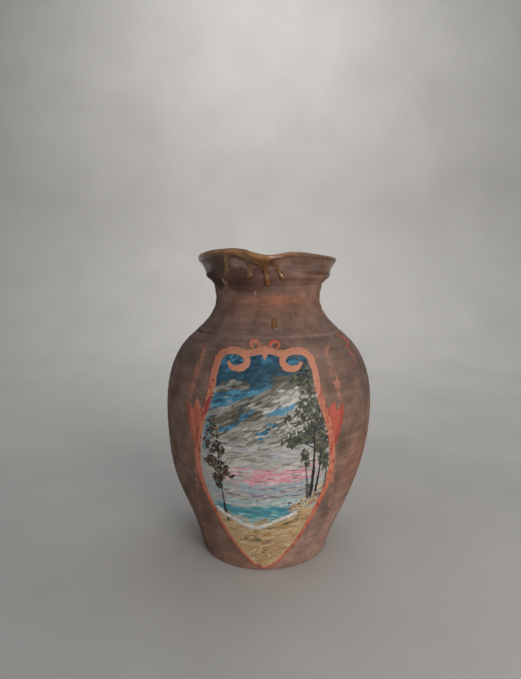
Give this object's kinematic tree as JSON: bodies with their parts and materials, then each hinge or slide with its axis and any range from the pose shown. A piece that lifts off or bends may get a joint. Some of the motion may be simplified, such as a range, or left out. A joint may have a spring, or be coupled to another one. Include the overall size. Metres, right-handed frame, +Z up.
{
  "type": "earthenware vase",
  "caption": "Thrown earthenware vase with a wide belly, short neck, flared collar with a pinched spout, glazed lip with runs and a painted shield-shaped seaside panel.",
  "frame": {"origin": "centre of the flat foot, on the surface the vase stands on", "axes": "+Z up along the vase's axis; -Y towards the front, where the spout and the painted panel are; +X to the viewer's right"},
  "size_m": [0.2052, 0.2056, 0.3016],
  "materials": {
    "terracotta": "matt unglazed earthenware, grey-brown with warmer flashes",
    "clay_slip": "fired clay slip in the joints",
    "liner_glaze": "glossy honey-brown lead-type glaze",
    "mauve_glaze": "thin glossy purple-brown glaze",
    "amber_glaze": "thick glossy amber glaze with runs",
    "sky_paint": "satin hand-laid paint, blue to grey and pink",
    "sea_paint": "satin turquoise paint",
    "sand_paint": "satin ochre paint",
    "white_paint": "thick off-white paint",
    "tree_paint": "dark green and black dabs of paint",
    "orange_paint": "matt salmon-orange paint, worn",
    "red_paint": "matt red-orange paint, worn"
  },
  "bodies": {
    "root": {"lower_body": "terracotta", "shoulder_neck": "terracotta", "rim_collar": "terracotta", "shoulder_slip": "clay_slip", "collar_slip": "clay_slip", "interior_glaze": "liner_glaze", "collar_glaze": "mauve_glaze", "rim_glaze": "amber_glaze", "glaze_drips": "amber_glaze", "sky_paint": "sky_paint", "sea_paint": "sea_paint", "sand_paint": "sand_paint", "foam_paint": "white_paint", "right_tree_paint": "tree_paint", "left_tree_paint": "tree_paint", "border_paint": "orange_paint", "crest_paint": "orange_paint", "left_leaf_paint": "red_paint", "right_leaf_paint": "red_paint", "left_flourish_paint": "orange_paint", "right_flourish_paint": "orange_paint", "shoulder_tick_paint": "red_paint"}
  },
  "joints": []
}
